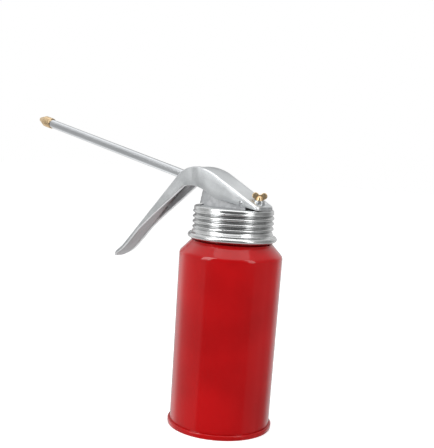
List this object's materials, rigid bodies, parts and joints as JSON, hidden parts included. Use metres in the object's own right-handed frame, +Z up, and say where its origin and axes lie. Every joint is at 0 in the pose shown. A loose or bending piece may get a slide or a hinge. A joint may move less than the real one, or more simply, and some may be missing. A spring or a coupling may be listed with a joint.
{
  "type": "oil can",
  "caption": "Lever-pump oil can: round red steel can, screwed pressed ring, cast pump head with squeeze lever, long rigid spout with a brass nozzle.",
  "frame": {"origin": "centre of the can's base rim, on the surface it stands on", "axes": "+Z up along the can's axis; the spout points towards -X; the object is symmetric about Y = 0"},
  "size_m": [0.2029, 0.0628, 0.175],
  "materials": {
    "red_paint": "gloss",
    "pressed_ring": "bright",
    "cast_grey": "matt cast",
    "lever_cast": "satin cast",
    "steel": "polished",
    "brass": "satin",
    "rubber": "matt"
  },
  "bodies": {
    "can": {"can_body": "red_paint", "can_base": "red_paint"},
    "head": {"pump_head": "cast_grey", "head_gasket": "rubber", "gland_packing": "rubber", "gland_nut": "brass", "pump_barrel": "steel", "barrel_foot": "cast_grey", "inlet_cage": "brass", "riser_tube": "steel", "dip_tube": "steel", "strainer": "brass", "spout_tube": "steel", "nozzle": "brass"},
    "ring": {"cap_ring": "pressed_ring"},
    "plunger": {"plunger_rod": "steel", "piston": "brass", "piston_seal": "rubber", "piston_nut": "brass", "return_spring": "steel"},
    "lever": {"lever": "lever_cast", "lever_pin": "steel"},
    "wing_screw": {"wing_screw": "brass"},
    "inlet_ball": {"inlet_ball": "steel"},
    "outlet_ball": {"outlet_ball": "steel", "outlet_spring": "steel"}
  },
  "joints": [
    {"name": "pump_lift", "type": "slide", "parent": "can", "child": "head", "axis": [0, 0, 1], "range_m": [0, 0.121]},
    {"name": "cap_ring_turn", "type": "hinge", "parent": "head", "child": "ring", "pos_m": [0, 0, 0.12], "axis": [0, 0, 1], "range_deg": [0, 1080]},
    {"name": "lever_squeeze", "type": "hinge", "parent": "head", "child": "lever", "pos_m": [0.01, 0, 0.134], "axis": [0, -1, 0], "range_deg": [0, 7], "stiffness_Nm_per_rad": 0.5, "springref_deg": -14.32},
    {"name": "plunger_slide", "type": "slide", "parent": "head", "child": "plunger", "axis": [0, 0, -1], "range_m": [0, 0.0017], "deforming": ["return_spring"]},
    {"name": "wing_screw_turn", "type": "hinge", "parent": "lever", "child": "wing_screw", "pos_m": [0.0172, 0, 0.134], "axis": [0, 0, 1], "continuous": true},
    {"name": "inlet_ball_lift", "type": "slide", "parent": "head", "child": "inlet_ball", "axis": [0, 0, 1], "range_m": [0, 0.0012]},
    {"name": "outlet_ball_lift", "type": "slide", "parent": "head", "child": "outlet_ball", "axis": [0, 0, 1], "range_m": [0, 0.0008], "stiffness_N_per_m": 100, "springref_m": -0.001, "deforming": ["outlet_spring"]}
  ],
  "couplings": [
    {"joint": "plunger_slide", "follows": "lever_squeeze", "m_per_rad": 0.01376}
  ]
}
